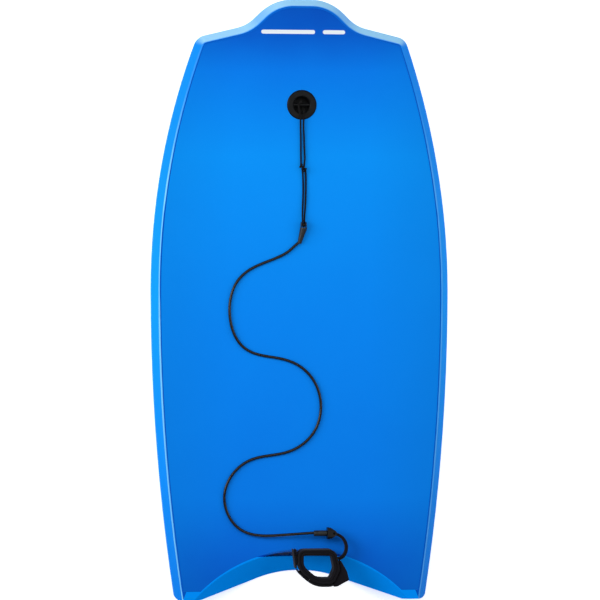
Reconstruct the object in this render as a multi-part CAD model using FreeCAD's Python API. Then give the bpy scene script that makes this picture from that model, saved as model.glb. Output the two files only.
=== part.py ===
import FreeCAD, Part
import math
import os

# Bodyboard with a wrist leash. Millimetres; +Y towards the nose, +X to the right, +Z out of the
# deck. The origin is on the slick bottom, midway along the board on its centreline.

Vector = FreeCAD.Vector
X_AXIS = Vector(1, 0, 0)
Z_AXIS = Vector(0, 0, 1)
ORIGIN = Vector(0, 0, 0)

# Board outline
HALF_LENGTH = 457.0
HALF_WIDTH = 228.0
WIDEST_Y = 15.0             # the widest point lies slightly ahead of the middle
FRONT_SIDE_RADIUS = 1110.0
REAR_SIDE_RADIUS = 3100.0
NOSE_BUMP = Vector(42.8, HALF_LENGTH, 0)
NOSE_NECK = Vector(84.0, 417.2, 0)
SHOULDER = Vector(159.5, 398.9, 0)
NOSE_BUMP_RADIUS = 72.0
NOSE_NECK_RADIUS = 55.0
SHOULDER_RADIUS = 20.0
TAIL_TIP_RADIUS = 10.0
OVERRUN = 63.0              # the blank is shaped this much too long, then trimmed at the tail
NOSE_MITRE_IN = SHOULDER + Vector(-18.0, -22.0, 0)
NOSE_MITRE_OUT = SHOULDER + Vector(1.0, -2.0, 0)

# Board thickness, rocker and rails
THICKNESS = 46.0
KICK_Y = 130.0              # flat behind this line, curving up ahead of it
BOTTOM_RADIUS = 1782.0
DECK_RADIUS = 2228.0
TOP_CHINE_DROP = 15.0
TOP_CHINE_WIDTH = 11.0
LOWER_CHINE_RISE = 14.0
LOWER_CHINE_WIDTH = 8.0
RIDGE_RADIUS = 3.0

# Crescent tail, cut on a slant: the deck edge lies ahead of the bottom edge
TAIL_BOTTOM_Y = -415.0
TAIL_DECK_Y = -383.0
TAIL_BOTTOM_RADIUS = 237.0
TAIL_DECK_RADIUS = 230.0
TAIL_BOTTOM_HALF_ARC = 69.0
TAIL_DECK_HALF_ARC = 168.0
TAIL_LINE_SLOPE = 0.3
TAIL_MITRE_IN = Vector(168.0, -424.0, 0)
TAIL_MITRE_OUT = Vector(181.0, -HALF_LENGTH, 0)

# Layers
GLUE_GAP = 0.08
SLICK = 1.0
BOTTOM_FOAM = 3.0
DECK_SKIN = 4.0
RAIL_DEPTH = 18.0
SKIN_INSET = 14.0
SLICK_INSET = 9.0
TAIL_STRIP_DEPTH = 16.0
TAIL_SKIN_SETBACK = 3.0
STRIP_GAP = 0.05            # between the rails and the strips across the nose and the tail

# Leash plug: a flanged cup screwed into a flanged base from below
PLUG_Y = 297.0
FLANGE_RADIUS = 22.5
FLANGE_PROUD = 1.5
FLANGE_SUNK = 1.2
CUP_RADIUS = 12.5
CUP_WALL_RADIUS = 15.0
CUP_DEPTH = 19.5
CUP_FLOOR = 2.5
PLUG_BAR_RADIUS = 2.25
PLUG_BAR_DEPTH = 4.0
CUP_BEVEL = 1.6
BASE_TUBE_RADIUS = 17.0
BASE_TUBE_TOP = -9.0
BASE_FLANGE = 2.5
BASE_RECESS = 0.6
COIN_SLOT_LENGTH = 24.0
COIN_SLOT_WIDTH = 2.4
COIN_SLOT_DEPTH = 1.4
FIT = 0.05                  # radial clearance of pins and screwed parts

# String
STRING_RADIUS = 1.35
STRING_SPACING = 2.0        # length of one straight-sided piece of string
WRAP_CLEARANCE = 0.35       # the straight-sided lengths cut inside a tight curve
PLUG_WRAP_RADIUS = PLUG_BAR_RADIUS + STRING_RADIUS + WRAP_CLEARANCE
KNOT_Y = 201.0
KNOT_HEIGHT = 4.2           # of its middle above the deck
STRAND_HALF_GAP = 1.65      # between the strands' centrelines, at the horn's bar

# Cord and its moulded ends
REST_GAP = 0.4              # leash parts lie this far above the deck
CORD_RADIUS = 2.1
CORD_SPACING = 8.0
HORN_HEAD_RADIUS = 4.2
HORN_HEAD_HALF_WIDTH = 4.3
HORN_COLLAR_RADIUS = 5.3    # widest part of the horn, behind its forked head
HORN_COLLAR_BACK = 5.6
HORN_NECK_RADIUS = 3.7
HORN_SLOT_HALF_WIDTH = 3.1
HORN_SLOT_BACK = 4.7
HORN_BAR_RADIUS = 1.2
HORN_END_RADIUS = 2.9
SOCKET_DEPTH = 8.0
SOCKET_CLEARANCE = 0.5      # room for the cord's bend inside the upper horn
EYE = Vector(2.8, 114.6, THICKNESS + HORN_COLLAR_RADIUS + REST_GAP)
HORN_END = Vector(-3.4, 86.4, THICKNESS + HORN_END_RADIUS + REST_GAP)
SLEEVE_RADIUS = 4.35

# Swivel and cuff
SWIVEL_Y = -354.5
SLEEVE_X = 17.4
SLEEVE_END_X = 37.4
CROSSBAR_X = 47.5
CROSSBAR_RADIUS = 2.0
CUFF_WIDTH = 34.0
CUFF_BASE = THICKNESS + REST_GAP
SWIVEL_Z = CUFF_BASE + 15.0
PIN_START_X = 29.0
PIN_RADIUS = 1.5
PIN_HEAD = 1.6
PIN_HEAD_RADIUS = 2.7
RIVET = 1.4
CLEVIS_GAP = 0.3
CLEVIS_BASE = 3.0
CLEVIS_RADIUS = 8.75
CLEVIS_TIP_RADIUS = 4.2
EAR_INNER = 7.3
EAR_OUTER = 9.5
TAB_HALF_WIDTH = 7.0
TAB_THICKNESS = 4.2
STRAP = 3.0
LINING = 5.0
PATCH = 1.2
FLAP = 2.2
LAYER_GAP = 0.1


def parts_folder():
    os.makedirs("parts", exist_ok=True)


def save(node, shape):
    shape.exportStep("parts/" + node + ".step")


def disc(centre, direction, radius, length):
    return Part.makeCylinder(radius, length, centre, direction)


def single(shape):
    """The only solid of a boolean result, or a compound of its solids."""
    solids = shape.Solids
    return solids[0] if len(solids) == 1 else Part.makeCompound(solids)


def polygon_face(points):
    return Part.Face(Part.makePolygon(points + points[:1]))


# ---------------------------------------------------------------- board outline

def side_x(y):
    """Half-width of the plain side curve at y."""
    radius = FRONT_SIDE_RADIUS if y > WIDEST_Y else REAR_SIDE_RADIUS
    return HALF_WIDTH - radius + math.sqrt(radius ** 2 - (y - WIDEST_Y) ** 2)


def side_point(y):
    return Vector(side_x(y), y, 0)


def is_upright_at(edge, corner):
    """True for a vertical edge that stands at a plan corner."""
    box = edge.BoundBox
    start = edge.Vertexes[0]
    near = abs(start.X - corner.x) < 0.5 and abs(start.Y - corner.y) < 0.5
    return near and box.XLength < 0.01 and box.YLength < 0.01


def upright_pair(solid, corner):
    """The left and right vertical edges of a prism at a plan corner."""
    twin = Vector(-corner.x, corner.y, 0)
    return [e for e in solid.Edges if is_upright_at(e, corner) or is_upright_at(e, twin)]


def plan_face(tail_y, tip_radius):
    """Plan outline with rounded corners, ending in a straight line at tail_y."""
    widest = side_point(WIDEST_Y)
    tip = side_point(tail_y)
    front_middle = side_point((SHOULDER.y + WIDEST_Y) / 2)
    rear_middle = side_point((WIDEST_Y + tail_y) / 2)
    right = [
        Part.makeLine(Vector(0, HALF_LENGTH, 0), NOSE_BUMP),
        Part.makeLine(NOSE_BUMP, NOSE_NECK),
        Part.makeLine(NOSE_NECK, SHOULDER),
        Part.Arc(SHOULDER, front_middle, widest).toShape(),
        Part.Arc(widest, rear_middle, tip).toShape(),
        Part.makeLine(tip, Vector(0, tail_y, 0)),
    ]
    left = [edge.mirror(ORIGIN, X_AXIS) for edge in right]
    outline = Part.Wire(Part.__sortEdges__(right + left))
    block = Part.Face(outline).extrude(Vector(0, 0, 10))
    corners = [
        (NOSE_BUMP, NOSE_BUMP_RADIUS),
        (NOSE_NECK, NOSE_NECK_RADIUS),
        (SHOULDER, SHOULDER_RADIUS),
    ]
    if tip_radius > 0:
        corners.append((tip, tip_radius))
    for corner, radius in corners:
        block = block.makeFillet(radius, upright_pair(block, corner))
    return min(block.Faces, key=lambda face: face.CenterOfMass.z)


def prism(face, inset):
    """Tall vertical prism on a plan outline, drawn in by inset."""
    base = face.makeOffset2D(-inset) if inset > 0 else face.copy()
    base.translate(Vector(0, 0, -20))
    return base.extrude(Vector(0, 0, 140))


# ---------------------------------------------------------------- rocker

def rocker_z(y, height, radius):
    """Height of a surface that is flat at height and curves up ahead of KICK_Y."""
    if y < KICK_Y:
        return height
    return height + radius - math.sqrt(radius ** 2 - (y - KICK_Y) ** 2)


def deck_z(y):
    return rocker_z(y, THICKNESS, DECK_RADIUS)


def bottom_z(y):
    return rocker_z(y, 0, BOTTOM_RADIUS)


def above_bottom(distance):
    return distance, BOTTOM_RADIUS - distance


def below_deck(distance):
    return THICKNESS - distance, DECK_RADIUS + distance


def rocker_edges(level, back_y, front_y):
    height, radius = level
    kick = Vector(0, KICK_Y, height)
    middle_y = (KICK_Y + front_y) / 2
    middle = Vector(0, middle_y, rocker_z(middle_y, height, radius))
    front = Vector(0, front_y, rocker_z(front_y, height, radius))
    return [Part.makeLine(Vector(0, back_y, height), kick), Part.Arc(kick, middle, front).toShape()]


def slab(lower, upper):
    """Everything between two rocker surfaces, wider and longer than the board."""
    back_y = -HALF_LENGTH - 2 * OVERRUN
    front_y = HALF_LENGTH + 40
    low = rocker_edges(lower, back_y, front_y)
    high = rocker_edges(upper, back_y, front_y)
    back = Part.makeLine(low[0].Vertexes[0].Point, high[0].Vertexes[0].Point)
    front = Part.makeLine(low[1].Vertexes[-1].Point, high[1].Vertexes[-1].Point)
    side = Part.Face(Part.Wire(Part.__sortEdges__(low + [front] + high + [back])))
    side.translate(Vector(-HALF_WIDTH - 50, 0, 0))
    return side.extrude(Vector(2 * HALF_WIDTH + 100, 0, 0))


# ---------------------------------------------------------------- tail

def tail_outline(level, shift):
    """Region behind the tail's curve at a height given as a fraction of the thickness."""
    middle_y = TAIL_BOTTOM_Y + (TAIL_DECK_Y - TAIL_BOTTOM_Y) * level + shift
    radius = TAIL_BOTTOM_RADIUS + (TAIL_DECK_RADIUS - TAIL_BOTTOM_RADIUS) * level
    half = TAIL_BOTTOM_HALF_ARC + (TAIL_DECK_HALF_ARC - TAIL_BOTTOM_HALF_ARC) * level
    arc_end_y = middle_y - radius + math.sqrt(radius ** 2 - half ** 2)
    outside = HALF_WIDTH + 22
    outside_y = arc_end_y - (outside - half) * TAIL_LINE_SLOPE
    back_y = -HALF_LENGTH - 2.5 * OVERRUN
    arc_left = Vector(-half, arc_end_y, 0)
    arc_right = Vector(half, arc_end_y, 0)
    left = Vector(-outside, outside_y, 0)
    right = Vector(outside, outside_y, 0)
    back_left = Vector(-outside, back_y, 0)
    back_right = Vector(outside, back_y, 0)
    outline = Part.Wire([
        Part.makeLine(left, arc_left),
        Part.Arc(arc_left, Vector(0, middle_y, 0), arc_right).toShape(),
        Part.makeLine(arc_right, right),
        Part.makeLine(right, back_right),
        Part.makeLine(back_right, back_left),
        Part.makeLine(back_left, left),
    ])
    outline.translate(Vector(0, 0, THICKNESS * level))
    return outline


def behind_tail(shift):
    """Solid behind the slanted tail face; shift moves the face towards the nose."""
    return Part.makeLoft([tail_outline(-0.1, shift), tail_outline(1.1, shift)], True, True)


# ---------------------------------------------------------------- board solids

def rim_edges(solid, level):
    """Edges where the solid's wall meets a rocker surface, apart from the rear end."""
    height, radius = level
    found = []
    for edge in solid.Edges:
        first, last = edge.FirstParameter, edge.LastParameter
        samples = [edge.valueAt(first + (last - first) * part) for part in (0, 0.37, 0.5, 0.71, 1)]
        on_level = all(abs(p.z - rocker_z(p.y, height, radius)) < 0.05 for p in samples)
        middle = samples[2]
        kick_line = abs(middle.x) < 100 and abs(middle.y - KICK_Y) < 5
        rear_end = middle.y < -HALF_LENGTH - OVERRUN + 5
        if on_level and not kick_line and not rear_end and edge.Length > 0.3:
            found.append(edge)
    return found


def board_blank(outline):
    """The whole board as one solid with both chines, a rounded ridge and the tail cut."""
    long_outline = plan_face(-HALF_LENGTH - OVERRUN, 0)
    deck = below_deck(0)
    bottom = above_bottom(0)
    blank = single(slab(bottom, deck).common(prism(long_outline, 0)))
    blank = blank.makeChamfer(TOP_CHINE_DROP, TOP_CHINE_WIDTH, rim_edges(blank, deck))
    blank = blank.makeChamfer(LOWER_CHINE_RISE, LOWER_CHINE_WIDTH, rim_edges(blank, bottom))
    blank = blank.makeFillet(RIDGE_RADIUS, rim_edges(blank, deck))
    return single(blank.common(prism(outline, 0)).cut(behind_tail(0)))


def layer(blank, outline, lower, upper, inset, setback):
    """One sheet of the board, set in from the rails and ahead of the tail face."""
    sheet = slab(lower, upper).common(prism(outline, inset)).cut(behind_tail(setback))
    return single(sheet.common(blank))


def plug_placement():
    """Frame of the leash plug: origin on the deck, Z square to the deck."""
    slope = math.degrees(math.asin((PLUG_Y - KICK_Y) / DECK_RADIUS))
    return FreeCAD.Placement(Vector(0, PLUG_Y, deck_z(PLUG_Y)), FreeCAD.Rotation(X_AXIS, slope))


def plug_grip():
    """Board thickness along the plug's axis."""
    slope = math.asin((PLUG_Y - KICK_Y) / DECK_RADIUS)
    return (deck_z(PLUG_Y) - bottom_z(PLUG_Y)) * math.cos(slope)


def plug_hole():
    """Stepped hole through the board with a spot face for each flange."""
    grip = plug_grip()
    bore = disc(Vector(0, 0, -grip - 10), Z_AXIS, BASE_TUBE_RADIUS + 0.3, grip + 20)
    top = disc(Vector(0, 0, -FLANGE_SUNK - GLUE_GAP), Z_AXIS, FLANGE_RADIUS + 0.3, 10)
    seat = -grip + BASE_RECESS + BASE_FLANGE + GLUE_GAP
    under = disc(Vector(0, 0, seat - 12), Z_AXIS, FLANGE_RADIUS + 0.3, 12)
    hole = bore.fuse(top).fuse(under)
    hole.Placement = plug_placement()
    return hole


def between_mitres(inner, outer):
    """Region between a mitre line through two plan points and its mirror image."""
    along = outer - inner
    near = inner - along
    far = inner + along * 3
    end_y = math.copysign(HALF_LENGTH + 150, outer.y)
    zone = polygon_face([
        Vector(-near.x, near.y, 0),
        near,
        far,
        Vector(far.x, end_y, 0),
        Vector(-far.x, end_y, 0),
        Vector(-far.x, far.y, 0),
    ])
    zone.translate(Vector(0, 0, -30))
    return zone.extrude(Vector(0, 0, 160))


def mirrored(shape):
    """Mirror image across the centreline."""
    matrix = FreeCAD.Matrix()
    matrix.A11 = -1
    return shape.transformGeometry(matrix)


def rail_strips(blank, outline):
    """The foam strips round the core: left and right rails, nose strip and tail strip."""
    core_space = prism(outline, RAIL_DEPTH).cut(behind_tail(TAIL_STRIP_DEPTH))
    skin_space = slab(below_deck(DECK_SKIN + GLUE_GAP), below_deck(-30))
    skin_space = skin_space.common(prism(outline, SKIN_INSET - GLUE_GAP))
    skin_space = skin_space.cut(behind_tail(TAIL_SKIN_SETBACK - GLUE_GAP))
    slick_space = slab(above_bottom(-30), above_bottom(SLICK + GLUE_GAP))
    slick_space = slick_space.common(prism(outline, SLICK_INSET - GLUE_GAP))
    slick_space = slick_space.cut(behind_tail(TAIL_SKIN_SETBACK - GLUE_GAP))
    ring = blank.cut(core_space).cut(skin_space).cut(slick_space)
    nose_zone = between_mitres(NOSE_MITRE_IN, NOSE_MITRE_OUT)
    tail_zone = between_mitres(TAIL_MITRE_IN, TAIL_MITRE_OUT)
    nose = single(ring.common(nose_zone))
    tail = single(ring.common(tail_zone))
    sides = ring.cut(nose_zone).cut(tail_zone)
    left = min(sides.Solids, key=lambda solid: solid.CenterOfMass.x)
    nose.translate(Vector(0, STRIP_GAP, 0))
    tail.translate(Vector(0, -STRIP_GAP, 0))
    return {
        "rail_strip_left": left,
        "rail_strip_right": mirrored(left),
        "nose_strip": nose,
        "tail_strip": tail,
    }


def board_parts():
    outline = plan_face(-HALF_LENGTH, TAIL_TIP_RADIUS)
    blank = board_blank(outline)
    core_inset = RAIL_DEPTH + GLUE_GAP
    core_setback = TAIL_STRIP_DEPTH + GLUE_GAP
    foam_low = above_bottom(SLICK + GLUE_GAP)
    foam_high = above_bottom(SLICK + BOTTOM_FOAM)
    core_low = above_bottom(SLICK + BOTTOM_FOAM + GLUE_GAP)
    core_high = below_deck(DECK_SKIN + GLUE_GAP)
    parts = rail_strips(blank, outline)
    parts["slick_sheet"] = layer(blank, outline, above_bottom(0), above_bottom(SLICK),
                                 SLICK_INSET, TAIL_SKIN_SETBACK)
    parts["bottom_foam"] = layer(blank, outline, foam_low, foam_high, core_inset, core_setback)
    parts["foam_core"] = layer(blank, outline, core_low, core_high, core_inset, core_setback)
    parts["deck_skin"] = layer(blank, outline, below_deck(DECK_SKIN), below_deck(0),
                               SKIN_INSET, TAIL_SKIN_SETBACK)
    hole = plug_hole()
    for node in ("slick_sheet", "bottom_foam", "foam_core", "deck_skin"):
        parts[node] = single(parts[node].cut(hole))
    return parts


# ---------------------------------------------------------------- leash plug

def turned(profile):
    """Solid of revolution about Z from (radius, height) pairs."""
    face = polygon_face([Vector(radius, 0, height) for radius, height in profile])
    return face.revolve(ORIGIN, Z_AXIS, 360)


def plug_cup():
    cup = turned([
        (0, -CUP_DEPTH - CUP_FLOOR),
        (CUP_WALL_RADIUS, -CUP_DEPTH - CUP_FLOOR),
        (CUP_WALL_RADIUS, -FLANGE_SUNK),
        (FLANGE_RADIUS, -FLANGE_SUNK),
        (FLANGE_RADIUS, 0.2),
        (FLANGE_RADIUS - CUP_BEVEL, FLANGE_PROUD),
        (CUP_RADIUS + CUP_BEVEL, FLANGE_PROUD),
        (CUP_RADIUS, FLANGE_PROUD - CUP_BEVEL),
        (CUP_RADIUS, -CUP_DEPTH),
        (0, -CUP_DEPTH),
    ])
    reach = CUP_WALL_RADIUS + 2
    hole = disc(Vector(-reach, 0, -PLUG_BAR_DEPTH), X_AXIS, PLUG_BAR_RADIUS + FIT, 2 * reach)
    return cup.cut(hole)


def plug_bar():
    half = CUP_WALL_RADIUS - 0.3
    return disc(Vector(-half, 0, -PLUG_BAR_DEPTH), X_AXIS, PLUG_BAR_RADIUS, 2 * half)


def plug_base():
    """Lower half: a closed tube that takes the cup, with a slot for a coin."""
    outer = -plug_grip() + BASE_RECESS
    base = turned([
        (0, outer),
        (FLANGE_RADIUS, outer),
        (FLANGE_RADIUS, outer + BASE_FLANGE),
        (BASE_TUBE_RADIUS, outer + BASE_FLANGE),
        (BASE_TUBE_RADIUS, BASE_TUBE_TOP),
        (CUP_WALL_RADIUS + FIT, BASE_TUBE_TOP),
        (CUP_WALL_RADIUS + FIT, outer + BASE_FLANGE),
        (0, outer + BASE_FLANGE),
    ])
    corner = Vector(-COIN_SLOT_LENGTH / 2, -COIN_SLOT_WIDTH / 2, outer)
    slot = Part.makeBox(COIN_SLOT_LENGTH, COIN_SLOT_WIDTH, COIN_SLOT_DEPTH, corner)
    return base.cut(slot)


def plug_parts():
    parts = {"plug_cup": plug_cup(), "plug_bar": plug_bar(), "plug_base": plug_base()}
    for shape in parts.values():
        shape.Placement = plug_placement()
    return parts


# ---------------------------------------------------------------- cord-like pieces

def spline(points):
    curve = Part.BSplineCurve()
    curve.interpolate(points)
    return curve.toShape()


def round_cord(points, radius, spacing):
    """A round cord along a smooth curve through the points, in short straight-sided lengths."""
    line = spline(points)
    count = math.ceil(line.Length / spacing)
    side = Z_AXIS
    rings = []
    for step in range(count + 1):
        place = line.getParameterByLength(min(line.Length, line.Length * step / count))
        heading = line.tangentAt(place)
        side = (side - heading * side.dot(heading)).normalize()
        turn = FreeCAD.Rotation(side, heading.cross(side), heading, "ZXY")
        ring = Part.Wire(Part.makeCircle(radius))
        ring.Placement = FreeCAD.Placement(line.valueAt(place), turn)
        rings.append(ring)
    return Part.makeLoft(rings, True, True)


def string_height(y):
    return deck_z(y) + STRING_RADIUS + 0.9


def upper_loop():
    """From the knot over the flange, round the bar and back to the knot."""
    place = plug_placement()
    lip = FLANGE_PROUD + STRING_RADIUS + 0.8
    bar = -PLUG_BAR_DEPTH
    in_plug = [
        (-1.9, -34.0, lip),
        (-2.1, -24.0, lip),
        (-2.7, -17.0, lip),
        (-3.4, -11.5, lip - 0.5),
        (-4.2, -5.5, bar + PLUG_WRAP_RADIUS + 0.9),
    ]
    turn = 8
    for step in range(turn + 1):
        angle = math.radians(100 - 200 * step / turn)
        across = -4.6 + 7.0 * step / turn
        in_plug.append((across, PLUG_WRAP_RADIUS * math.cos(angle),
                        bar + PLUG_WRAP_RADIUS * math.sin(angle)))
    in_plug += [
        (3.2, -5.4, bar - 3.0),
        (3.6, -8.4, bar - 0.4),
        (3.7, -10.4, bar + 3.6),
        (3.6, -13.2, lip + 0.8),
        (3.2, -17.0, lip + 0.5),
        (2.6, -24.0, lip),
        (2.6, -34.0, lip),
    ]
    run = [245.0, 225.0, KNOT_Y + 11]
    points = [place.multVec(Vector(*point)) for point in in_plug]
    left = [Vector(-1.6 + 0.01 * (265.0 - y), y, string_height(y) + 0.4) for y in reversed(run)]
    right = [Vector(2.8 + 0.04 * (265.0 - y), y, string_height(y) + 0.4) for y in run]
    knot = deck_z(KNOT_Y) + KNOT_HEIGHT
    start = Vector(-1.2, KNOT_Y + 3.6, knot)
    end = Vector(2.9, KNOT_Y + 2.2, knot)
    return round_cord([start] + left + points + right + [end], STRING_RADIUS, STRING_SPACING)


def lower_loop():
    """From the knot to the cord: two strands that loop the bar across the horn's fork."""
    wrap = HORN_BAR_RADIUS + STRING_RADIUS + WRAP_CLEARANCE
    knot = deck_z(KNOT_Y) + KNOT_HEIGHT
    left = [
        Vector(1.4, KNOT_Y - 2.2, knot),
        Vector(1.9, 190.0, string_height(190.0)),
        Vector(2.5, 165.0, string_height(165.0)),
        Vector(1.6, 140.0, string_height(140.0) + 0.6),
        Vector(EYE.x - STRAND_HALF_GAP, EYE.y + 9.0, EYE.z + 1.3),
        Vector(EYE.x - STRAND_HALF_GAP, EYE.y + 4.0, EYE.z + wrap - 0.2),
    ]
    turn = 6
    around = []
    for step in range(turn + 1):
        half_turn = math.pi * step / turn
        angle = math.pi / 2 + half_turn
        across = -STRAND_HALF_GAP * math.cos(half_turn)
        around.append(EYE + Vector(across, wrap * math.cos(angle), wrap * math.sin(angle)))
    right = [
        Vector(EYE.x + STRAND_HALF_GAP, EYE.y + 4.0, EYE.z - wrap),
        Vector(EYE.x + STRAND_HALF_GAP, EYE.y + 9.0, EYE.z - wrap - 0.2),
        Vector(5.6, 140.0, string_height(140.0)),
        Vector(6.6, 165.0, string_height(165.0)),
        Vector(6.4, 190.0, string_height(190.0)),
        Vector(5.6, KNOT_Y - 4.0, knot),
    ]
    return round_cord(left + around + right, STRING_RADIUS, STRING_SPACING)


def string_knot():
    """Overhand knot, as a lumpy ball of two crossing coils."""
    height = deck_z(KNOT_Y) + KNOT_HEIGHT
    upper = Part.makeSphere(3.5, Vector(-1.4, KNOT_Y + 3.8, height))
    lower = Part.makeSphere(3.5, Vector(5.6, KNOT_Y - 3.8, height))
    middle = Part.makeSphere(3.6, Vector(2.1, KNOT_Y, height + 0.4))
    knot = upper.fuse(lower).fuse(middle)
    return knot.cut(upper_loop()).cut(lower_loop())


def horn_upper():
    """Moulded cord end: a fork with a bar across it, tapering to the cord."""
    collar = EYE - Vector(0, HORN_COLLAR_BACK, 0)
    reach = HORN_END.sub(collar)
    heading = Vector(reach).normalize()
    half = Vector(HORN_HEAD_HALF_WIDTH, 0, 0)
    head = disc(EYE - half, X_AXIS, HORN_HEAD_RADIUS, 2 * HORN_HEAD_HALF_WIDTH)
    neck = Part.makeCone(HORN_COLLAR_RADIUS, HORN_NECK_RADIUS, HORN_COLLAR_BACK, collar,
                         EYE.sub(collar))
    knuckle = Part.makeSphere(HORN_COLLAR_RADIUS + 0.05, collar)
    taper = Part.makeCone(HORN_COLLAR_RADIUS, HORN_END_RADIUS, reach.Length, collar, heading)
    body = head.fuse(neck).fuse(knuckle).fuse(taper)
    slot_corner = EYE - Vector(HORN_SLOT_HALF_WIDTH, HORN_SLOT_BACK, 20)
    slot = Part.makeBox(2 * HORN_SLOT_HALF_WIDTH, 20, 40, slot_corner)
    socket_start = HORN_END.sub(heading * SOCKET_DEPTH)
    socket = disc(socket_start, heading, CORD_RADIUS + SOCKET_CLEARANCE, SOCKET_DEPTH + 1)
    bar_half = (HORN_HEAD_HALF_WIDTH + HORN_SLOT_HALF_WIDTH) / 2
    bar = disc(EYE - Vector(bar_half, 0, 0), X_AXIS, HORN_BAR_RADIUS, 2 * bar_half)
    return single(body.cut(slot).cut(socket).fuse(bar))


def cord():
    """S-shaped cord lying on the deck, rising to the sleeve that stands at swivel height."""
    low = THICKNESS + CORD_RADIUS + REST_GAP
    collar = EYE - Vector(0, HORN_COLLAR_BACK, 0)
    heading = HORN_END.sub(collar).normalize()
    start = HORN_END.sub(heading * (SOCKET_DEPTH - 0.2))
    end = Vector(SLEEVE_X + SOCKET_DEPTH - 0.2, SWIVEL_Y, SWIVEL_Z)
    entry = Vector(SLEEVE_X, SWIVEL_Y, SWIVEL_Z)
    bends = [
        Vector(-13, 76, low + 0.5),
        Vector(-40, 63, low),
        Vector(-93, 38, low),
        Vector(-111, -11, low),
        Vector(-86, -76, low),
        Vector(-20, -92, low),
        Vector(22, -128, low),
        Vector(20, -200, low),
        Vector(-20, -231, low),
        Vector(-80, -244, low),
        Vector(-118, -296, low),
        Vector(-95, -348, low + 0.8),
        Vector(-30, -357, low + 9),
    ]
    leaving = [start, HORN_END - heading * 3, HORN_END + heading]
    return round_cord(leaving + bends + [entry, end], CORD_RADIUS, CORD_SPACING)


# ---------------------------------------------------------------- swivel

def swivel_axis(x):
    return Vector(x, SWIVEL_Y, SWIVEL_Z)


def horn_lower():
    """Sleeve on the cord's lower end, hollow at its far end for the swivel pin's head."""
    length = SLEEVE_END_X - SLEEVE_X
    sleeve = disc(swivel_axis(SLEEVE_X), X_AXIS, SLEEVE_RADIUS, length)
    sleeve = sleeve.makeFillet(0.8, [edge for edge in sleeve.Edges if edge.Closed])
    socket = disc(swivel_axis(SLEEVE_X - 1), X_AXIS, CORD_RADIUS + FIT, SOCKET_DEPTH + 1)
    chamber = disc(swivel_axis(PIN_START_X - 0.6), X_AXIS, PIN_HEAD_RADIUS + 0.15, PIN_HEAD + 0.8)
    neck = disc(swivel_axis(PIN_START_X), X_AXIS, PIN_RADIUS + FIT, 20)
    return single(sleeve.cut(socket).cut(chamber).cut(neck))


def swivel_pin():
    """Headed pin that turns in the sleeve and is riveted inside the clevis."""
    rivet_x = SLEEVE_END_X + CLEVIS_GAP + CLEVIS_BASE + 0.1
    head = disc(swivel_axis(PIN_START_X), X_AXIS, PIN_HEAD_RADIUS, PIN_HEAD)
    shank = disc(swivel_axis(PIN_START_X), X_AXIS, PIN_RADIUS, rivet_x - PIN_START_X)
    rivet = disc(swivel_axis(rivet_x), X_AXIS, PIN_HEAD_RADIUS, RIVET)
    return single(head.fuse(shank).fuse(rivet))


def swivel_body():
    """Clevis: a round base with an upper and a lower ear that narrow to a rounded tip."""
    base_x = SLEEVE_END_X + CLEVIS_GAP
    tip = Vector(CROSSBAR_X, SWIVEL_Y, 0)
    plan = Part.makePolygon([
        Vector(base_x, SWIVEL_Y - CLEVIS_RADIUS, 0),
        Vector(base_x + 5, SWIVEL_Y - CLEVIS_RADIUS, 0),
        Vector(CROSSBAR_X + 2, SWIVEL_Y - CLEVIS_TIP_RADIUS * 0.9, 0),
        Vector(CROSSBAR_X + 2, SWIVEL_Y + CLEVIS_TIP_RADIUS * 0.9, 0),
        Vector(base_x + 5, SWIVEL_Y + CLEVIS_RADIUS, 0),
        Vector(base_x, SWIVEL_Y + CLEVIS_RADIUS, 0),
        Vector(base_x, SWIVEL_Y - CLEVIS_RADIUS, 0),
    ])
    height = 2 * EAR_OUTER
    body = Part.Face(plan).extrude(Vector(0, 0, height))
    body = body.fuse(disc(tip, Z_AXIS, CLEVIS_TIP_RADIUS, height)).removeSplitter()
    body.translate(Vector(0, 0, SWIVEL_Z - EAR_OUTER))
    barrel = disc(swivel_axis(base_x), X_AXIS, math.hypot(CLEVIS_RADIUS, EAR_OUTER) - 2.2, 20)
    body = body.common(barrel)
    window_corner = Vector(base_x + CLEVIS_BASE, SWIVEL_Y - 20, SWIVEL_Z - EAR_INNER)
    window = Part.makeBox(30, 40, 2 * EAR_INNER, window_corner)
    pin_hole = disc(swivel_axis(base_x - 1), X_AXIS, PIN_RADIUS + FIT, 10)
    bar_hole = disc(Vector(CROSSBAR_X, SWIVEL_Y, 0), Z_AXIS, CROSSBAR_RADIUS + FIT, 120)
    return single(body.cut(window).cut(pin_hole).cut(bar_hole))


def swivel_crossbar():
    start = Vector(CROSSBAR_X, SWIVEL_Y, SWIVEL_Z - EAR_OUTER + 0.2)
    return disc(start, Z_AXIS, CROSSBAR_RADIUS, 2 * EAR_OUTER - 0.4)


# ---------------------------------------------------------------- cuff

def cuff_core(distance):
    """Region inside the cuff line, grown outward by distance. The line is a rounded D."""
    corners = [
        (Vector(-5.0, -381.6, 0), 7.0),
        (Vector(-5.0, -406.0, 0), 22.0),
        (Vector(19.0, -427.0, 0), 30.0),
        (Vector(44.0, -427.0, 0), 8.0),
        (Vector(52.4, -408.0, 0), 14.0),
        (Vector(46.6, -381.6, 0), 10.0),
    ]
    block = polygon_face([corner for corner, radius in corners]).extrude(Vector(0, 0, 10))
    for corner, radius in corners:
        upright = [edge for edge in block.Edges if is_upright_at(edge, corner)]
        block = block.makeFillet(radius, upright)
    base = min(block.Faces, key=lambda face: face.CenterOfMass.z)
    return base.makeOffset2D(distance) if distance else base


def cuff_band(inner, outer, low=0.0, high=CUFF_WIDTH):
    """Closed band between two distances outward from the cuff line."""
    up = Vector(0, 0, high - low)
    ring = cuff_core(outer).extrude(up).cut(cuff_core(inner).extrude(up))
    ring.translate(Vector(0, 0, CUFF_BASE + low))
    return single(ring)


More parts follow.
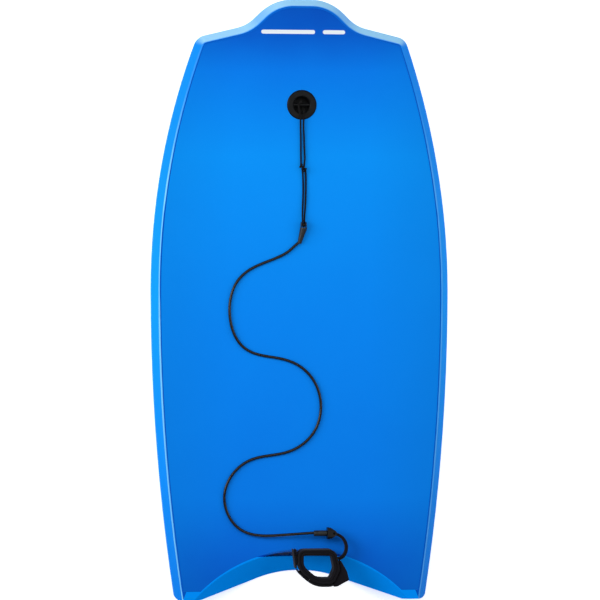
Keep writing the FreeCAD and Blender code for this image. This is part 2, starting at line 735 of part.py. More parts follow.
def plan_zone(points):
    base = polygon_face([Vector(x, y, 0) for x, y in points])
    return base.extrude(Vector(0, 0, 200))


def bottom_zone(left, right, top=-409.0):
    """Region round the cuff's tail-side run, between two x values."""
    return plan_zone([(left, top), (left, -470.0), (right, -470.0), (right, top)])


def closure_flap():
    """Strap end that wraps the tail-side run of the cuff."""
    low, high = 3.0, CUFF_WIDTH - 3.0
    inner = STRAP + 2 * PATCH + 3 * LAYER_GAP
    return single(cuff_band(inner, inner + FLAP, low, high).common(bottom_zone(-16.0, 46.0)))


def pull_tab():
    """Thick folded finger pull at the flap's free end, reaching up the cuff's right side."""
    height = CUFF_WIDTH - 8.0
    wedge = polygon_face([
        Vector(46.1, -424.0, 0),
        Vector(46.1, -435.0, 0),
        Vector(52.0, -434.6, 0),
        Vector(70.0, -425.0, 0),
        Vector(66.0, -410.5, 0),
        Vector(57.6, -396.0, 0),
        Vector(54.0, -398.0, 0),
    ]).extrude(Vector(0, 0, height))
    clear = cuff_core(STRAP + 0.8).extrude(Vector(0, 0, height))
    wedge = single(wedge.cut(clear))
    wedge.translate(Vector(0, 0, CUFF_BASE + 4.0))
    return wedge


def flap_patch():
    inner = STRAP + PATCH + 2 * LAYER_GAP
    patch = cuff_band(inner, inner + PATCH, 4.0, CUFF_WIDTH - 4.0)
    return single(patch.common(bottom_zone(-4.0, 44.0, -411.5)))


def strap_patch():
    inner = STRAP + LAYER_GAP
    patch = cuff_band(inner, inner + PATCH, 4.0, CUFF_WIDTH - 4.0)
    return single(patch.common(bottom_zone(-6.0, 45.0, -411.0)))


def strap_end():
    """Folded end of the strap, standing as a narrow V at the cuff's left."""
    outer = plan_zone([(-12.0, -407.0), (-10.2, -406.0), (-10.4, -378.0), (-11.6, -378.0)])
    fold = plan_zone([(-12.0, -407.0), (-11.0, -403.0), (-14.4, -378.0), (-15.6, -378.0)])
    both = outer.fuse(fold).removeSplitter()
    limits = Part.makeBox(60, 60, CUFF_WIDTH - 8, Vector(-40, -420, CUFF_BASE + 4))
    return single(both.common(limits))


def cuff_tab():
    """Webbing that loops the crossbar and is sewn to the strap's right side."""
    eye_outer = CROSSBAR_RADIUS + 0.3 + TAB_THICKNESS / 2
    eye_inner = CROSSBAR_RADIUS + 0.3
    bar = Vector(CROSSBAR_X, SWIVEL_Y, 0)
    ring = disc(bar, Z_AXIS, eye_outer, 2 * TAB_HALF_WIDTH)
    hollow = disc(bar, Z_AXIS, eye_inner, 2 * TAB_HALF_WIDTH)
    line = spline([
        Vector(CROSSBAR_X + 3.4, SWIVEL_Y - 1.4, 0),
        Vector(61.0, -361.5, 0),
        Vector(66.6, -372.0, 0),
        Vector(65.6, -384.0, 0),
        Vector(60.4, -391.0, 0),
        Vector(54.9, -393.6, 0),
    ])
    start = line.valueAt(line.FirstParameter)
    across = line.tangentAt(line.FirstParameter).cross(Z_AXIS) * (TAB_THICKNESS / 2)
    top = Vector(0, 0, 2 * TAB_HALF_WIDTH)
    profile = Part.makePolygon([start + across, start - across, start - across + top,
                                start + across + top, start + across])
    sweep = Part.BRepOffsetAPI.MakePipeShell(Part.Wire(line))
    sweep.setBiNormalMode(Z_AXIS)
    sweep.add(profile)
    sweep.build()
    sweep.makeSolid()
    tab = ring.fuse(sweep.shape()).cut(hollow)
    tab.translate(Vector(0, 0, SWIVEL_Z - TAB_HALF_WIDTH))
    return single(tab)


def leash_parts():
    return {
        "string_upper_loop": upper_loop(),
        "string_lower_loop": lower_loop(),
        "string_knot": string_knot(),
        "horn_upper": horn_upper(),
        "cord": cord(),
        "horn_lower": horn_lower(),
        "swivel_pin": swivel_pin(),
        "swivel_body": swivel_body(),
        "swivel_crossbar": swivel_crossbar(),
        "cuff_tab": cuff_tab(),
        "cuff_strap": cuff_band(0.0, STRAP),
        "cuff_lining": cuff_band(-LINING, -LAYER_GAP),
        "strap_patch": strap_patch(),
        "flap_patch": flap_patch(),
        "closure_flap": closure_flap(),
        "pull_tab": pull_tab(),
        "strap_end": strap_end(),
    }


def main():
    parts_folder()
    groups = [board_parts(), plug_parts(), leash_parts()]
    for group in groups:
        for node, shape in group.items():
            save(node, shape)


main()
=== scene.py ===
import math

import bpy
import numpy as np
from mathutils import Matrix, Vector
from mathutils.bvhtree import BVHTree


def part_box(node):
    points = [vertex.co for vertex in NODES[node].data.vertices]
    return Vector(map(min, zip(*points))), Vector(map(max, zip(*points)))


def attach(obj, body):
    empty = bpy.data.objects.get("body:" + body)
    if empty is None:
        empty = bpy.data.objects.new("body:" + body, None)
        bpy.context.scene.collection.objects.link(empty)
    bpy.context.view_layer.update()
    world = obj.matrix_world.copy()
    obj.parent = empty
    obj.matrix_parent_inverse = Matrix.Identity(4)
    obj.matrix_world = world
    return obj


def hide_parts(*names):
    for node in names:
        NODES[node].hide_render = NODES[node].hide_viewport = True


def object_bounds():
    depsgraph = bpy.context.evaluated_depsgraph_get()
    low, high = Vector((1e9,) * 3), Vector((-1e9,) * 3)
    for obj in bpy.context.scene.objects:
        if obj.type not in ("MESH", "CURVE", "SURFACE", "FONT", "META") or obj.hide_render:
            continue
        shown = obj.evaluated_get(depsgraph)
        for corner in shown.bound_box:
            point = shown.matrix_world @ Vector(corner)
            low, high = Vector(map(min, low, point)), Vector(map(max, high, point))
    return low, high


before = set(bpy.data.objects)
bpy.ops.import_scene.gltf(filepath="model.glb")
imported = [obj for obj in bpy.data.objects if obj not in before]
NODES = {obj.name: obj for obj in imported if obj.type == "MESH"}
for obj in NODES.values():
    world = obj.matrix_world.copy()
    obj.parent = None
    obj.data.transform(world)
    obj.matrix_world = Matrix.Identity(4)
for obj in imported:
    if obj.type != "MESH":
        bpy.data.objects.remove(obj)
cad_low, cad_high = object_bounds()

MM = 0.001
CORD_RADIUS = 2.1 * MM
STRING_RADIUS = 1.32 * MM
STITCH_RADIUS = 0.30 * MM
HEM = 3.2 * MM                  # a row of stitches lies this far inside a band's edge
CLOTH_PRESSURE = 4.0
CLOTH_FRAMES = 20
CAMERA_DISTANCE = 5.0
CAMERA_LEAN = math.radians(6.5)
FRAME_WIDTH = 0.9175            # metres across the picture, at the board


# ---------------------------------------------------------------- colours and shader helpers

def srgb(red, green, blue):
    """Linear colour from 0-255 display values."""
    def linear(value):
        value /= 255.0
        return value / 12.92 if value <= 0.04045 else ((value + 0.055) / 1.055) ** 2.4
    return (linear(red), linear(green), linear(blue), 1.0)


class Shader:
    """A material under construction: adds nodes and links with little ceremony."""

    def __init__(self, name):
        self.material = bpy.data.materials.new(name)
        self.material.use_nodes = True
        self.tree = self.material.node_tree
        self.surface = self.tree.nodes["Principled BSDF"]
        self.place = self.node("ShaderNodeTexCoord").outputs["Object"]

    def node(self, kind, inputs=None, **settings):
        made = self.tree.nodes.new(kind)
        for key, value in settings.items():
            setattr(made, key, value)
        for key, value in (inputs or {}).items():
            self.feed(made.inputs[key], value)
        return made

    def feed(self, socket, value):
        if isinstance(value, bpy.types.NodeSocket):
            self.tree.links.new(value, socket)
        else:
            socket.default_value = value

    def math(self, operation, first, second=0.0, clamp=False):
        made = self.node("ShaderNodeMath", {0: first, 1: second}, operation=operation)
        made.use_clamp = clamp
        return made.outputs[0]

    def noise(self, scale, detail=4.0, vector=None):
        inputs = {"Vector": vector or self.place, "Scale": scale, "Detail": detail}
        return self.node("ShaderNodeTexNoise", inputs).outputs[0]

    def stretched(self, x, y, z):
        inputs = {0: self.place, 1: (x, y, z)}
        return self.node("ShaderNodeVectorMath", inputs, operation="MULTIPLY").outputs[0]

    def axes(self):
        return self.node("ShaderNodeSeparateXYZ", {0: self.place}).outputs

    def normals(self):
        normal = self.node("ShaderNodeTexCoord").outputs["Normal"]
        return self.node("ShaderNodeSeparateXYZ", {0: normal}).outputs

    def ramp(self, factor, stops):
        made = self.node("ShaderNodeValToRGB", {0: factor})
        elements = made.color_ramp.elements
        while len(elements) < len(stops):
            elements.new(0.5)
        for element, (position, colour) in zip(elements, stops):
            element.position = position
            element.color = colour
        return made.outputs[0]

    def mix(self, factor, first, second, blend="MIX"):
        made = self.node("ShaderNodeMix", data_type="RGBA", blend_type=blend)
        self.feed(made.inputs[0], factor)
        self.feed(made.inputs[6], first)
        self.feed(made.inputs[7], second)
        return made.outputs[2]

    def range(self, value, low, high, new_low, new_high):
        keys = ("Value", "From Min", "From Max", "To Min", "To Max")
        inputs = dict(zip(keys, (value, low, high, new_low, new_high)))
        return self.node("ShaderNodeMapRange", inputs).outputs[0]

    def bump(self, height, strength, distance):
        inputs = {"Height": height, "Strength": strength, "Distance": distance}
        made = self.node("ShaderNodeBump", inputs)
        previous = self.surface.inputs["Normal"]
        if previous.is_linked:
            self.tree.links.new(previous.links[0].from_socket, made.inputs["Normal"])
        self.tree.links.new(made.outputs[0], previous)

    def finish(self, colour, roughness, specular=0.5):
        self.feed(self.surface.inputs["Base Color"], colour)
        self.feed(self.surface.inputs["Roughness"], roughness)
        self.feed(self.surface.inputs["Specular IOR Level"], specular)
        return self.material


def shade(colour, factor):
    return (colour[0] * factor, colour[1] * factor, colour[2] * factor, 1.0)


def foam(name, stops, edge_shade, specular, roughness, overlay=None):
    """Closed-cell foam with fine cells, under painted light and shade: colour that deepens towards the
    tail, nose and rails.
    Each stop is a share of the length from the tail, and a colour."""
    shader = Shader(name)
    x, y, _ = shader.axes()
    along = shader.range(y, cad_low.y, cad_high.y, 0.0, 1.0)
    middle = stops[len(stops) // 2][1]
    # Painted light and shade along the length, taken from the stops.
    colour = shader.ramp(along, stops)
    sideways = shader.math("ABSOLUTE", x)
    # Painted shade that darkens the colour towards the rails.
    near_edge = shader.range(sideways, 0.45 * cad_high.x, 0.95 * cad_high.x, 0.0, edge_shade)
    colour = shader.mix(near_edge, colour, shade(middle, 0.62))
    mottle = shader.range(shader.noise(9.0), 0.3, 0.7, 0.0, 0.10)
    colour = shader.mix(mottle, colour, shade(middle, 1.12))
    if overlay:
        colour = overlay(shader, colour)
    cells = shader.node("ShaderNodeTexVoronoi", {"Vector": shader.place, "Scale": 900.0}).outputs[0]
    shader.bump(cells, 0.10, 0.3 * MM)
    shader.bump(shader.noise(60.0), 0.05, 1.0 * MM)
    rough = shader.range(shader.noise(140.0), 0.3, 0.7, roughness - 0.05, roughness + 0.07)
    return shader.finish(colour, rough, specular)


def rail_highlights_and_dark_line(shader, colour):
    """Painted highlights: a paler chine across the nose and a pale ridge, strongest on the left; and a
    dark line beside the deck skin.
    """
    across, forward, up = shader.normals()
    _, y, _ = shader.axes()
    # Painted highlight on the chine across the nose.
    nose = shader.range(forward, 0.25, 0.70, 0.0, 0.75)
    colour = shader.mix(nose, colour, srgb(172, 228, 252))
    # Painted highlight along the ridge, stronger on the left side, where the lamp falls, and fading
    # towards the nose.
    above_chine = shader.range(up, 0.66, 0.76, 0.0, 1.0)
    below_land = shader.range(up, 0.98, 0.93, 0.0, 1.0)
    lit_side = shader.range(across, 0.2, -0.2, 0.35, 0.85)
    behind_nose = shader.range(y, 0.70 * cad_high.y, 0.40 * cad_high.y, 0.15, 1.0)
    on_ridge = shader.math("MULTIPLY", above_chine, below_land)
    ridge = shader.math("MULTIPLY", shader.math("MULTIPLY", on_ridge, lit_side), behind_nose)
    colour = shader.mix(ridge, colour, srgb(138, 216, 255))
    land = shader.range(up, 0.985, 0.995, 0.0, 1.0)
    return shader.mix(land, colour, srgb(3, 84, 196))


def printed_bars(shader, colour):
    """Two plain printed bars with round ends across the nose of the deck."""
    x, y, _ = shader.axes()
    print_y = cad_high.y - 50 * MM
    half_height = 3.0 * MM
    mask = 0.0
    for centre, half_length in ((-22 * MM, 38 * MM), (48 * MM, 14 * MM)):
        from_centre = shader.math("ABSOLUTE", shader.math("SUBTRACT", x, centre))
        beyond = shader.math("MAXIMUM", shader.math("SUBTRACT", from_centre, half_length), 0.0)
        off = shader.math("SUBTRACT", y, print_y)
        squares = shader.math("ADD", shader.math("POWER", beyond, 2.0), shader.math("POWER", off, 2.0))
        distance = shader.math("SQRT", squares)
        bar = shader.range(distance, half_height + 0.3 * MM, half_height - 0.3 * MM, 0.0, 1.0)
        mask = shader.math("MAXIMUM", bar, mask)
    return shader.mix(mask, colour, srgb(236, 244, 250))


def plastic(name, colour, roughness, grain=0.04, specular=0.5):
    """Moulded plastic with a faint flow grain and slightly uneven gloss."""
    shader = Shader(name)
    spots = shader.range(shader.noise(320.0), 0.35, 0.65, 0.0, 1.0)
    tint = shader.mix(spots, colour, shade(colour, 1.35))
    rough = shader.range(shader.noise(90.0), 0.3, 0.7, roughness * 0.8, roughness * 1.25)
    shader.bump(shader.noise(1500.0, 2.0), grain, 0.2 * MM)
    return shader.finish(tint, rough, specular)


def urethane(name):
    """Dark smoky cord: near black, with a painted brown highlight towards its edges."""
    shader = Shader(name)
    # Painted highlight: the cord turns lighter brown where its surface turns away from the view.
    facing = shader.node("ShaderNodeLayerWeight", {"Blend": 0.35}).outputs["Facing"]
    colour = shader.mix(facing, srgb(9, 5, 5), srgb(26, 12, 11))
    shader.feed(shader.surface.inputs["Coat Weight"], 0.15)
    shader.feed(shader.surface.inputs["Coat Roughness"], 0.12)
    shader.bump(shader.noise(400.0, 2.0), 0.03, 0.2 * MM)
    rough = shader.range(shader.noise(120.0), 0.3, 0.7, 0.22, 0.36)
    return shader.finish(colour, rough, 0.3)


def woven(name, colour, pitch, angle, depth):
    """Two crossed sets of yarns, for webbing and jersey."""
    shader = Shader(name)
    turned = shader.node("ShaderNodeVectorRotate", {"Vector": shader.place, "Angle": angle})
    turned.rotation_type = "Z_AXIS"
    vector = turned.outputs[0]
    yarns = []
    for direction in ("X", "Y", "Z"):
        inputs = {"Vector": vector, "Scale": 0.314 / pitch, "Distortion": 0.4}
        wave = shader.node("ShaderNodeTexWave", inputs, wave_type="BANDS")
        wave.bands_direction = direction
        yarns.append(wave.outputs["Fac"])
    weave = shader.math("MAXIMUM", shader.math("MULTIPLY", yarns[0], yarns[2]), yarns[1])
    fuzz = shader.noise(2500.0, 2.0)
    tint = shader.mix(weave, shade(colour, 0.55), shade(colour, 1.5))
    tint = shader.mix(shader.range(fuzz, 0.4, 0.6, 0.0, 0.3), tint, shade(colour, 1.8))
    shader.bump(weave, 0.6, depth)
    shader.bump(fuzz, 0.2, 0.15 * MM)
    shader.feed(shader.surface.inputs["Sheen Weight"], 0.04)
    return shader.finish(tint, 0.85, 0.15)


def bead_foam(name):
    """Expanded beads pressed together."""
    shader = Shader(name)
    inputs = {"Vector": shader.place, "Scale": 260.0}
    beads = shader.node("ShaderNodeTexVoronoi", inputs, feature="DISTANCE_TO_EDGE").outputs[0]
    lines = shader.range(beads, 0.0, 0.12, 0.0, 1.0)
    shader.bump(lines, 0.5, 0.4 * MM)
    return shader.finish(shader.mix(lines, srgb(205, 205, 200), srgb(240, 240, 236)), 0.7)


def steel(name, dark, light):
    """Turned metal: fine streaks round the pins."""
    shader = Shader(name)
    streaks = shader.noise(900.0, 3.0, shader.stretched(8.0, 1.0, 1.0))
    shader.feed(shader.surface.inputs["Metallic"], 1.0)
    shader.bump(streaks, 0.15, 0.1 * MM)
    rough = shader.range(streaks, 0.3, 0.7, 0.22, 0.4)
    return shader.finish(shader.mix(streaks, dark, light), rough)


def slick(name):
    """Glossy bottom sheet with faint lengthwise draw lines."""
    shader = Shader(name)
    lines = shader.noise(220.0, 3.0, shader.stretched(1.0, 0.03, 1.0))
    shader.bump(lines, 0.12, 0.4 * MM)
    tint = shader.mix(lines, srgb(6, 78, 170), srgb(12, 104, 206))
    return shader.finish(tint, shader.range(lines, 0.3, 0.7, 0.16, 0.3), 0.5)


def hook_tape(name):
    """Hook-and-loop tape: dense fine fuzz."""
    shader = Shader(name)
    cells = shader.node("ShaderNodeTexVoronoi", {"Vector": shader.place, "Scale": 1400.0}).outputs[0]
    shader.bump(cells, 0.8, 0.5 * MM)
    return shader.finish(shader.mix(cells, srgb(34, 34, 36), srgb(10, 10, 11)), 0.95, 0.1)


# Painted light and shade on the deck: darker towards the tail and the kicked-up nose, with a painted
# sheen brightest ahead of the middle.
DECK_LIGHT_AND_SHADE_STOPS = [
    (0.0, srgb(3, 84, 196)),
    (0.07, srgb(4, 98, 214)),
    (0.17, srgb(4, 124, 238)),
    (0.45, srgb(4, 134, 246)),
    (0.74, srgb(5, 148, 252)),
    (0.88, srgb(4, 122, 236)),
    (0.94, srgb(4, 90, 204)),
    (1.0, srgb(3, 76, 186)),
]
# Painted light and shade along the rails: darker at the tail, brightest in the middle.
RAIL_LIGHT_AND_SHADE_STOPS = [(0.0, srgb(4, 120, 226)), (0.5, srgb(5, 148, 250)), (1.0, srgb(10, 128, 236))]
# Painted light: the tail face is painted brighter than the deck, to stand in for light on a face
# turned away from the lamps.
TAIL_PAINTED_LIGHT_STOPS = [(0.0, srgb(2, 144, 255)), (1.0, srgb(2, 150, 255))]

deck_material = foam("deck_foam", DECK_LIGHT_AND_SHADE_STOPS, 0.35, 0.04, 0.6, printed_bars)
rail_material = foam("rail_foam", RAIL_LIGHT_AND_SHADE_STOPS, 0.0, 0.03, 0.50, rail_highlights_and_dark_line)
tail_material = foam("tail_foam", TAIL_PAINTED_LIGHT_STOPS, 0.0, 0.0, 0.6)
black_plastic = plastic("plug_plastic", srgb(5, 7, 10), 0.50, 0.04, 0.18)
swivel_plastic = plastic("swivel_plastic", srgb(12, 12, 14), 0.34, 0.04, 0.4)
moulded = plastic("moulded_end", srgb(30, 32, 33), 0.48, 0.10, 0.35)
string_cloth = woven("string_cloth", srgb(12, 11, 12), 0.5 * MM, 0.6, 0.10 * MM)
webbing = woven("webbing", srgb(14, 12, 17), 1.3 * MM, 0.0, 0.25 * MM)
jersey = woven("jersey", srgb(13, 11, 17), 0.7 * MM, 0.3, 0.10 * MM)
thread = woven("thread", srgb(30, 29, 34), 0.3 * MM, 0.5, 0.05 * MM)


# ---------------------------------------------------------------- carried CAD nodes

def paint(material, *names):
    for name in names:
        mesh = NODES[name].data
        mesh.materials.clear()
        mesh.materials.append(material)


paint(deck_material, "deck_skin")
paint(rail_material, "rail_strip_left", "rail_strip_right", "nose_strip")
paint(tail_material, "tail_strip", "bottom_foam")
paint(bead_foam("core_foam"), "foam_core")
paint(slick("slick"), "slick_sheet")
paint(black_plastic, "plug_cup", "plug_base", "plug_bar")
paint(steel("steel", srgb(120, 122, 126), srgb(175, 177, 180)), "swivel_pin")
paint(steel("blackened_steel", srgb(16, 16, 18), srgb(34, 34, 37)), "swivel_crossbar")
paint(moulded, "horn_upper", "horn_lower")
paint(swivel_plastic, "swivel_body")
paint(hook_tape("hook_tape"), "strap_patch", "flap_patch")


# ---------------------------------------------------------------- round cords

def merged_mesh(node):
    """The node's mesh as numpy points and neighbour sets, with doubled corners merged."""
    mesh = NODES[node].data
    points = {}
    where = []
    for vertex in mesh.vertices:
        key = tuple(round(c, 6) for c in vertex.co)
        where.append(points.setdefault(key, len(points)))
    places = np.array(list(points), float)
    near = [set() for _ in range(len(places))]
    for edge in mesh.edges:
        a, b = where[edge.vertices[0]], where[edge.vertices[1]]
        near[a].add(b)
        near[b].add(a)
    return places, near


def centreline(node, start, step):
    """Centre points of a cord: the mesh is walked outward from start, and each level is averaged.
    The walk starts and ends on slanting rings, so both ends are cut back and then run out straight."""
    places, near = merged_mesh(node)
    first = int(np.argmin(np.linalg.norm(places - np.array(start), axis=1)))
    level = {first: 0}
    front = [first]
    while front:
        following = []
        for index in front:
            for other in near[index]:
                if other not in level:
                    level[other] = level[index] + 1
                    following.append(other)
        front = following
    rows = [[] for _ in range(max(level.values()) + 1)]
    for index, row in level.items():
        rows[row].append(places[index])
    slanting = 5
    rough = np.array([np.mean(row, axis=0) for row in rows[slanting:-slanting]])
    far = places[max(level, key=level.get)]
    rough = np.vstack([run_out(rough[::-1], start)[::-1], run_out(rough, far)[len(rough):]])
    lengths = np.concatenate([[0], np.cumsum(np.linalg.norm(np.diff(rough, axis=0), axis=1))])
    spots = np.linspace(0, lengths[-1], max(8, int(lengths[-1] / step)))
    return np.stack([np.interp(spots, lengths, rough[:, axis]) for axis in range(3)], axis=1)


def run_out(line, target):
    """Adds a last point that carries the line straight on, level with target."""
    heading = line[-1] - line[-3]
    heading /= np.linalg.norm(heading)
    reach = max(0.0, (np.array(target) - line[-1]).dot(heading))
    return np.vstack([line, line[-1] + heading * reach])


def smooth_line(points, passes):
    line = points.copy()
    for _ in range(passes):
        line[1:-1] = (line[:-2] + 2 * line[1:-1] + line[2:]) / 4
    return line


def tube(name, line, radius, sides, relief):
    """Closed tube along a line; relief(along, round) adds to the radius."""
    verts = []
    tangents = np.gradient(line, axis=0)
    tangents /= np.linalg.norm(tangents, axis=1)[:, None]
    side = np.cross(tangents[0], [0.0, 0.0, 1.0])
    along = 0.0
    for index, centre in enumerate(line):
        heading = tangents[index]
        side = side - heading * side.dot(heading)
        side /= np.linalg.norm(side)
        other = np.cross(heading, side)
        if index:
            along += np.linalg.norm(centre - line[index - 1])
        for k in range(sides):
            angle = 2 * math.pi * k / sides
            reach = radius + relief(along, angle)
            verts.append(centre + reach * (math.cos(angle) * side + math.sin(angle) * other))
    faces = []
    rings = len(line)
    for ring in range(rings - 1):
        for k in range(sides):
            a = ring * sides + k
            b = ring * sides + (k + 1) % sides
            faces.append((a, b, b + sides, a + sides))
    faces.append(tuple(reversed(range(sides))))
    faces.append(tuple(range((rings - 1) * sides, rings * sides)))
    return new_mesh(name, verts, faces)


def new_mesh(name, verts, faces):
    mesh = bpy.data.meshes.new(name)
    mesh.from_pydata([tuple(v) for v in verts], [], faces)
    mesh.update()
    for polygon in mesh.polygons:
        polygon.use_smooth = True
    made = bpy.data.objects.new(name, mesh)
    bpy.context.collection.objects.link(made)
    return made


def dress(piece, body, material, slot_name, *nodes):
    piece.data.materials.append(material)
    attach(piece, body)
    if nodes:
        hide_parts(*nodes)
    return piece


def braid(along, angle):
    """Crossing diagonal strands of a braided string."""
    pitch = 5.0 * MM
    strands = 4
    relief = 0.07 * MM
    sunk = 0.05 * MM
    turn = 2 * math.pi * along / pitch
    one = math.cos(strands * angle + turn)
    two = math.cos(strands * angle - turn)
    return relief * max(one, two) - sunk


def plain(along, angle):
    return 0.0


def end_point(node, axis, sign):
    """The corner of a node's mesh that lies furthest along an axis."""
    places = np.array([tuple(v.co) for v in NODES[node].data.vertices])
    return places[np.argmax(sign * places[:, axis])]


def build_cords():
    cord_line = smooth_line(centreline("cord", end_point("cord", 1, 1), 2.0 * MM), 6)
    cord = tube("leash_cord", cord_line, CORD_RADIUS, 20, plain)
    dress(cord, "leash", urethane("urethane"), "urethane", "cord")
    for name, sign in (("string_upper_loop", -1), ("string_lower_loop", 1)):
        line = smooth_line(centreline(name, end_point(name, 1, sign), 0.5 * MM), 4)
        piece = tube("braided_" + name, line, STRING_RADIUS, 24, braid)
        dress(piece, "string", string_cloth, "string", name)


def build_knot():
    """Overhand knot: coils of the same string wound round the two strands."""
    low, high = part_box("string_knot")
    centre = (low + high) / 2
    half = (high - low) / 2
    margin = (3.0 * MM, 3.1 * MM)
    coil = (2.2 * MM, 1.1 * MM, 2.0 * MM)
    turns = 2.6
    points = []
    steps = 130
    for step in range(steps + 1):
        part = step / steps
        angle = 2 * math.pi * turns * part
        lean = 1 - 2 * part
        x = centre.x - lean * (half.x - margin[0]) + coil[0] * math.cos(angle)
        y = centre.y + lean * (half.y - margin[1]) + coil[1] * math.cos(angle)
        z = centre.z + coil[2] * math.sin(angle)
        points.append((x, y, z))
    knot = tube("braided_knot", np.array(points), STRING_RADIUS, 20, braid)
    dress(knot, "string", string_cloth, "string", "string_knot")


# ---------------------------------------------------------------- soft cuff

def voxel_copy(node, name, voxel, smoothing):
    """A closed, softly rounded copy of a CAD solid."""
    mesh = NODES[node].data.copy()
    copy = bpy.data.objects.new(name, mesh)
    bpy.context.collection.objects.link(copy)
    remesh = copy.modifiers.new("remesh", "REMESH")
    remesh.mode = "VOXEL"
    remesh.voxel_size = voxel
    remesh.use_smooth_shade = True
    smooth = copy.modifiers.new("smooth", "SMOOTH")
    smooth.factor = 0.5
    smooth.iterations = smoothing
    bake(copy)
    return copy


def bake(piece):
    """Applies the piece's modifiers to its mesh."""
    graph = bpy.context.evaluated_depsgraph_get()
    made = bpy.data.meshes.new_from_object(piece.evaluated_get(graph))
    piece.modifiers.clear()
    piece.data = made
    made.materials.clear()
    for polygon in made.polygons:
        polygon.use_smooth = True


def inflate(piece, cap):
    """Cloth simulation that swells the padding; no point moves further than cap."""
    rest = np.array([tuple(v.co) for v in piece.data.vertices])
    cloth = piece.modifiers.new("cloth", "CLOTH")
    cloth.settings.use_pressure = True
    cloth.settings.uniform_pressure_force = CLOTH_PRESSURE
    cloth.settings.effector_weights.gravity = 0.0
    cloth.settings.tension_stiffness = 12.0
    cloth.settings.compression_stiffness = 12.0
    cloth.settings.quality = 4
    cloth.point_cache.frame_start = 1
    cloth.point_cache.frame_end = CLOTH_FRAMES
    scene = bpy.context.scene
    for step in range(1, CLOTH_FRAMES + 1):
        scene.frame_set(step)
    graph = bpy.context.evaluated_depsgraph_get()
    moved = np.array([tuple(v.co) for v in piece.evaluated_get(graph).data.vertices])
    scene.frame_set(1)
    piece.modifiers.remove(cloth)
    shift = moved - rest
    length = np.linalg.norm(shift, axis=1)
    scale = np.where(length > cap, cap / np.maximum(length, 1e-9), 1.0)
    final = rest + shift * scale[:, None]
    piece.data.vertices.foreach_set("co", final.ravel())
    piece.data.update()


def subdivide(piece):
    piece.modifiers.new("subdivision", "SUBSURF").levels = 1
    bake(piece)


def soft_piece(node, name, body, material, slot_name, voxel, smoothing, cap=0.0):
    piece = voxel_copy(node, name, voxel, smoothing)
    if cap:
        inflate(piece, cap)
    subdivide(piece)
    return dress(piece, body, material, slot_name, node)


def outside_points(cloth_piece, height, angles):
    """Places and normals on the outside of a band, found by looking in from each angle."""
    tree = BVHTree.FromObject(cloth_piece, bpy.context.evaluated_depsgraph_get())
    low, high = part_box("cuff_lining")
    centre = (low + high) / 2
    start_distance = 120 * MM
    hits = []
    for angle in angles:
        out = Vector((math.cos(angle), math.sin(angle), 0))
        start = Vector((centre.x, centre.y, height)) + out * start_distance
        place, normal, _, _ = tree.ray_cast(start, -out)
        if place is not None:
            hits.append((place, normal))
    return hits


def add_stitch(verts, faces, place, normal, length):
    """One short round stitch, thickest in the middle, lying along the band."""
    up = Vector((0, 0, 1))
    along = normal.cross(up).normalized()
    rings = 5
    sides = 8
    base = len(verts)
    for ring in range(rings):
        part = ring / (rings - 1) * 2 - 1
        reach = STITCH_RADIUS * math.sqrt(max(0.05, 1 - part * part))
        middle = place + along * (part * length / 2) + normal * 0.05 * MM
        for k in range(sides):
            turn = 2 * math.pi * k / sides
            verts.append(middle + reach * (math.cos(turn) * normal + math.sin(turn) * up))
    for ring in range(rings - 1):
        for k in range(sides):
            a = base + ring * sides + k
            b = base + ring * sides + (k + 1) % sides
            faces.append((a, a + sides, b + sides, b))
    last = base + (rings - 1) * sides
    faces.append(tuple(base + k for k in range(sides)))
    faces.append(tuple(last + k for k in reversed(range(sides))))


def stitches(name, cloth_piece, height, angles, length, body):
    """A row of raised stitches round the outside of a band."""
    verts = []
    faces = []
    for place, normal in outside_points(cloth_piece, height, angles):
        add_stitch(verts, faces, place, normal, length)
    if verts:
        row = new_mesh(name, verts, faces)
        dress(row, body, thread, "neoprene")


def turn_range(first, last, count):
    return [math.radians(first + (last - first) * step / count) for step in range(count + 1)]


def build_cuff():
    soft_piece("cuff_lining", "cuff_padding", "cuff", jersey, "neoprene", 1.5 * MM, 4, 0.6 * MM)
    strap = soft_piece("cuff_strap", "cuff_band", "cuff", jersey, "neoprene", 0.9 * MM, 2)
    flap = soft_piece("closure_flap", "cuff_flap", "flap", jersey, "neoprene", 0.8 * MM, 2)
    soft_piece("pull_tab", "finger_pull", "flap", jersey, "neoprene", 0.9 * MM, 2, 0.5 * MM)
    soft_piece("cuff_tab", "cuff_webbing", "cuff", webbing, "webbing", 0.7 * MM, 2)
    soft_piece("strap_end", "strap_tail", "cuff", webbing, "webbing", 0.6 * MM, 1)
    low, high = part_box("cuff_strap")
    for name, height in (("lower", low.z + HEM), ("upper", high.z - HEM)):
        stitches("strap_stitches_" + name, strap, height, turn_range(-25, 215, 72), 1.7 * MM, "cuff")
    flap_low, flap_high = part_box("closure_flap")
    for name, height in (("lower", flap_low.z + HEM), ("upper", flap_high.z - HEM)):
        stitches("flap_stitches_" + name, flap, height, turn_range(212, 305, 34), 1.6 * MM, "flap")


build_cords()
build_knot()
build_cuff()


# ---------------------------------------------------------------- stage

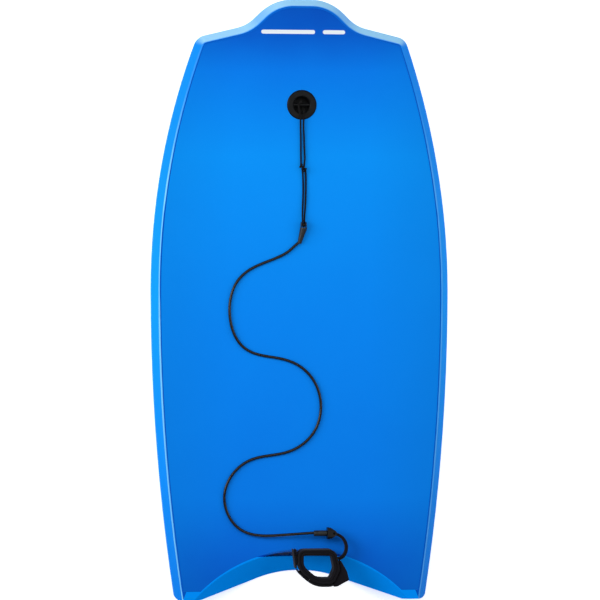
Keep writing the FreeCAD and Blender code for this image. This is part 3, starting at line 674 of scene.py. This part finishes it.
def build_floor():
    """Plain pale floor that reads as white paper."""
    size = 6.0
    corners = [(-size, -size, 0), (size, -size, 0), (size, size, 0), (-size, size, 0)]
    drop = -0.5 * MM
    floor = new_mesh("floor", [(x, y, drop) for x, y, _ in corners], [(0, 1, 2, 3)])
    shader = Shader("floor_paper")
    paper = shader.range(shader.noise(3.0), 0.3, 0.7, 0.86, 0.9)
    colour = shader.node("ShaderNodeCombineColor", {0: paper, 1: paper, 2: paper}).outputs[0]
    shader.feed(shader.surface.inputs["Emission Color"], (1, 1, 1, 1))
    shader.feed(shader.surface.inputs["Emission Strength"], 0.6)
    floor.data.materials.append(shader.finish(colour, 0.9, 0.1))


def area_light(name, place, aim, width, height, power):
    data = bpy.data.lights.new(name, "AREA")
    data.shape = "RECTANGLE"
    data.size = width
    data.size_y = height
    data.energy = power
    light = bpy.data.objects.new(name, data)
    bpy.context.collection.objects.link(light)
    light.location = place
    light.rotation_euler = (Vector(aim) - Vector(place)).to_track_quat("-Z", "Y").to_euler()


def build_lights():
    world = bpy.data.worlds.new("studio")
    world.use_nodes = True
    background = world.node_tree.nodes["Background"]
    background.inputs["Color"].default_value = (1, 1, 1, 1)
    background.inputs["Strength"].default_value = 0.27
    bpy.context.scene.world = world
    area_light("left", (-2.2, 0.5, 1.5), (0, 0.1, 0), 1.2, 2.0, 44.0)
    area_light("right", (2.2, 0.3, 1.7), (0, 0.1, 0), 1.0, 2.0, 17.0)
    area_light("top", (0.0, 0.9, 3.0), (0, 0.15, 0), 2.4, 1.2, 26.0)


def build_camera():
    """Nearly straight down, leaning a little to the left of the board."""
    data = bpy.data.cameras.new("camera")
    data.sensor_width = 36.0
    data.lens = CAMERA_DISTANCE * data.sensor_width / FRAME_WIDTH
    data.clip_end = 20.0
    camera = bpy.data.objects.new("camera", data)
    bpy.context.collection.objects.link(camera)
    centre = Vector((0, 0, cad_low.z + 0.35 * (cad_high.z - cad_low.z)))
    back = Vector((-math.sin(CAMERA_LEAN), 0, math.cos(CAMERA_LEAN)))
    camera.location = centre + back * CAMERA_DISTANCE
    camera.rotation_mode = "QUATERNION"
    across = Vector((math.cos(CAMERA_LEAN), 0, math.sin(CAMERA_LEAN)))
    turn = Matrix((across, Vector((0, 1, 0)), back)).transposed()
    camera.rotation_quaternion = turn.to_quaternion()
    bpy.context.scene.camera = camera


build_floor()
build_lights()
build_camera()
bpy.context.scene.view_settings.view_transform = "Standard"
